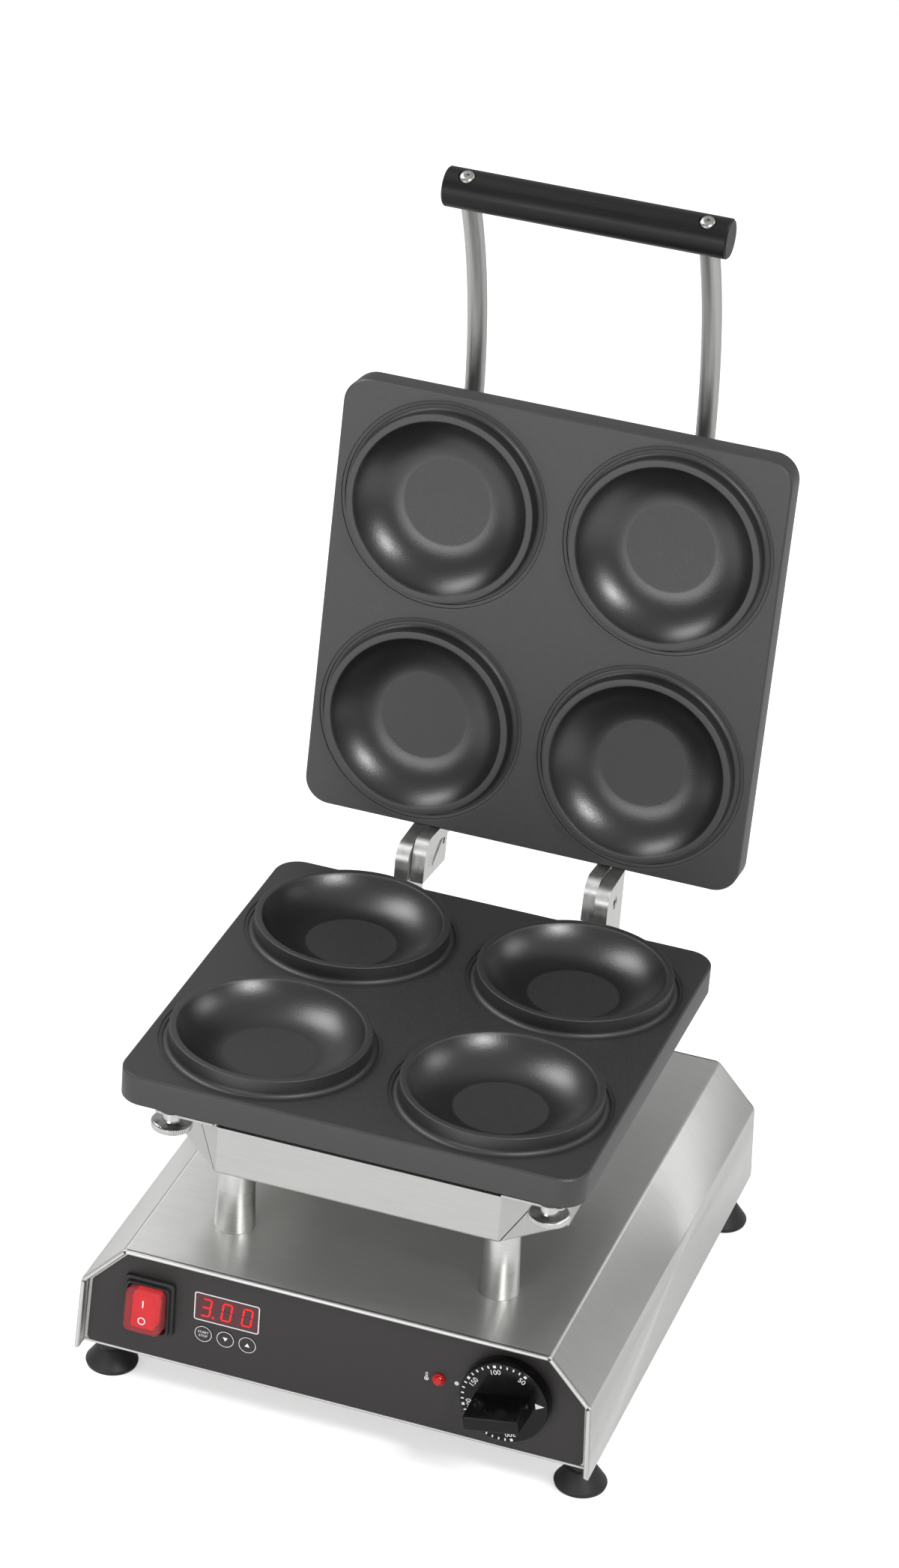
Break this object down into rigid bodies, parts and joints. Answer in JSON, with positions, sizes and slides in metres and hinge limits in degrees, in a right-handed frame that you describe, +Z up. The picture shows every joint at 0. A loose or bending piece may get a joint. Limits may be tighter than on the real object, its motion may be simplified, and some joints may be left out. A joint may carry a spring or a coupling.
{
  "type": "jaffle maker",
  "caption": "Countertop jaffle maker: round dishes in two hinged baking plates, a steel base with switch, timer display and thermostat knob, and a lid with a long bar handle.",
  "frame": {"origin": "on the counter, under the centre of the sheet-metal base's footprint", "axes": "+X to the operator's right, +Y away from the operator towards the hinge, +Z up"},
  "size_m": [0.327, 0.4283, 0.6721],
  "materials": {
    "stainless": "brushed stainless sheet",
    "polished_steel": "polished stainless rod",
    "turned_steel": "turned and knurled stainless",
    "turned_aluminium": "turned, satin",
    "milled_aluminium": "milled, tool marks",
    "cast_aluminium": "cast, dull",
    "non_stick": "cast plate with a matt black non-stick coat",
    "zinc_steel": "zinc-plated",
    "element_steel": "dull heating-element sheath",
    "panel_film": "fine-grained printed film",
    "display_red": "dark red window",
    "black_plastic": "moulded",
    "knob_plastic": "moulded, satin",
    "grip_plastic": "moulded, fine grain",
    "white_plastic": "moulded",
    "circuit_board": "lacquered board",
    "lamp_lens": "clear red lens",
    "red_rocker": "moulded, lit from inside",
    "red_boot": "clear soft cap",
    "black_rubber": "moulded rubber",
    "mineral_wool": "pressed wool",
    "brass": "plain"
  },
  "bodies": {
    "base": {"base_cover": "stainless", "base_chassis": "stainless", "panel_film": "panel_film", "switch_gasket": "black_rubber", "switch_body": "black_plastic", "display_window": "display_red", "display_module": "black_plastic", "timer_board": "circuit_board", "pilot_lamp_lens": "lamp_lens", "pilot_lamp_body": "black_plastic", "thermostat_body": "zinc_steel", "sensor_capillary": "zinc_steel", "terminal_block": "white_plastic", "earth_stud": "brass", "mains_gland": "black_plastic", "base_lead_gland": "black_plastic", "rubber_feet": "black_rubber", "foot_screws": "zinc_steel", "cone_legs": "turned_aluminium", "leg_bolts": "zinc_steel", "lower_tray": "stainless", "lower_insulation": "mineral_wool", "lower_heating_element": "element_steel", "lower_heater_block": "cast_aluminium", "lower_baking_plate": "non_stick", "lower_plate_studs": "zinc_steel", "fixed_hinge_arm_left": "milled_aluminium", "fixed_hinge_arm_right": "milled_aluminium", "fixed_arm_screws": "zinc_steel", "hinge_pins": "zinc_steel", "lid_stop_pins": "zinc_steel"},
    "lid": {"lid_hinge_arm_left": "milled_aluminium", "lid_hinge_arm_right": "milled_aluminium", "lid_arm_screws": "zinc_steel", "upper_housing": "stainless", "upper_insulation": "mineral_wool", "upper_heating_element": "element_steel", "upper_heater_block": "cast_aluminium", "upper_baking_plate": "non_stick", "upper_plate_studs": "zinc_steel", "handle_rods": "polished_steel", "handle_grip": "grip_plastic", "handle_screws": "zinc_steel", "handle_rod_blocks": "milled_aluminium", "lid_lead_gland": "black_plastic"},
    "thermostat": {"thermostat_knob": "knob_plastic", "thermostat_shaft": "zinc_steel"},
    "rocker": {"switch_rocker": "red_rocker", "switch_boot": "red_boot"},
    "key_start_stop": {"key_start_stop": "panel_film"},
    "key_down": {"key_down": "panel_film"},
    "key_up": {"key_up": "panel_film"},
    "lower_thumb_nut_front_left": {"lower_thumb_nut_front_left": "turned_steel"},
    "lower_thumb_nut_front_right": {"lower_thumb_nut_front_right": "turned_steel"},
    "lower_thumb_nut_rear_left": {"lower_thumb_nut_rear_left": "turned_steel"},
    "lower_thumb_nut_rear_right": {"lower_thumb_nut_rear_right": "turned_steel"},
    "upper_thumb_nut_front_left": {"upper_thumb_nut_front_left": "turned_steel"},
    "upper_thumb_nut_front_right": {"upper_thumb_nut_front_right": "turned_steel"},
    "upper_thumb_nut_rear_left": {"upper_thumb_nut_rear_left": "turned_steel"},
    "upper_thumb_nut_rear_right": {"upper_thumb_nut_rear_right": "turned_steel"}
  },
  "joints": [
    {"name": "lid_hinge", "type": "hinge", "parent": "base", "child": "lid", "pos_m": [0, 0.1143, 0.2368], "axis": [1, 0, 0], "range_deg": [0, 96.4]},
    {"name": "thermostat_turn", "type": "hinge", "parent": "base", "child": "thermostat", "pos_m": [0.1061, -0.18, 0.0678], "axis": [0, -1, 0], "range_deg": [-106.5, 169.5]},
    {"name": "rocker_tilt", "type": "hinge", "parent": "base", "child": "rocker", "pos_m": [-0.1153, -0.1665, 0.0671], "axis": [1, 0, 0], "range_deg": [0, 14]},
    {"name": "key_start_stop_press", "type": "slide", "parent": "base", "child": "key_start_stop", "axis": [0, 1, 0], "range_m": [0, 0.0003], "stiffness_N_per_m": 1500},
    {"name": "key_down_press", "type": "slide", "parent": "base", "child": "key_down", "axis": [0, 1, 0], "range_m": [0, 0.0003], "stiffness_N_per_m": 1500},
    {"name": "key_up_press", "type": "slide", "parent": "base", "child": "key_up", "axis": [0, 1, 0], "range_m": [0, 0.0003], "stiffness_N_per_m": 1500},
    {"name": "lower_thumb_nut_front_left_turn", "type": "hinge", "parent": "base", "child": "lower_thumb_nut_front_left", "pos_m": [-0.115, -0.1489, 0.182], "axis": [0, 0, 1], "continuous": true},
    {"name": "lower_thumb_nut_front_right_turn", "type": "hinge", "parent": "base", "child": "lower_thumb_nut_front_right", "pos_m": [0.115, -0.1489, 0.182], "axis": [0, 0, 1], "continuous": true},
    {"name": "lower_thumb_nut_rear_left_turn", "type": "hinge", "parent": "base", "child": "lower_thumb_nut_rear_left", "pos_m": [-0.115, 0.0651, 0.182], "axis": [0, 0, 1], "continuous": true},
    {"name": "lower_thumb_nut_rear_right_turn", "type": "hinge", "parent": "base", "child": "lower_thumb_nut_rear_right", "pos_m": [0.115, 0.0651, 0.182], "axis": [0, 0, 1], "continuous": true},
    {"name": "upper_thumb_nut_front_left_turn", "type": "hinge", "parent": "lid", "child": "upper_thumb_nut_front_left", "pos_m": [-0.115, 0.19869, 0.49218], "axis": [0, 0.9938, -0.1115], "continuous": true},
    {"name": "upper_thumb_nut_front_right_turn", "type": "hinge", "parent": "lid", "child": "upper_thumb_nut_front_right", "pos_m": [0.115, 0.19869, 0.49218], "axis": [0, 0.9938, -0.1115], "continuous": true},
    {"name": "upper_thumb_nut_rear_left_turn", "type": "hinge", "parent": "lid", "child": "upper_thumb_nut_rear_left", "pos_m": [-0.115, 0.17484, 0.27952], "axis": [0, 0.9938, -0.1115], "continuous": true},
    {"name": "upper_thumb_nut_rear_right_turn", "type": "hinge", "parent": "lid", "child": "upper_thumb_nut_rear_right", "pos_m": [0.115, 0.17484, 0.27952], "axis": [0, 0.9938, -0.1115], "continuous": true}
  ]
}
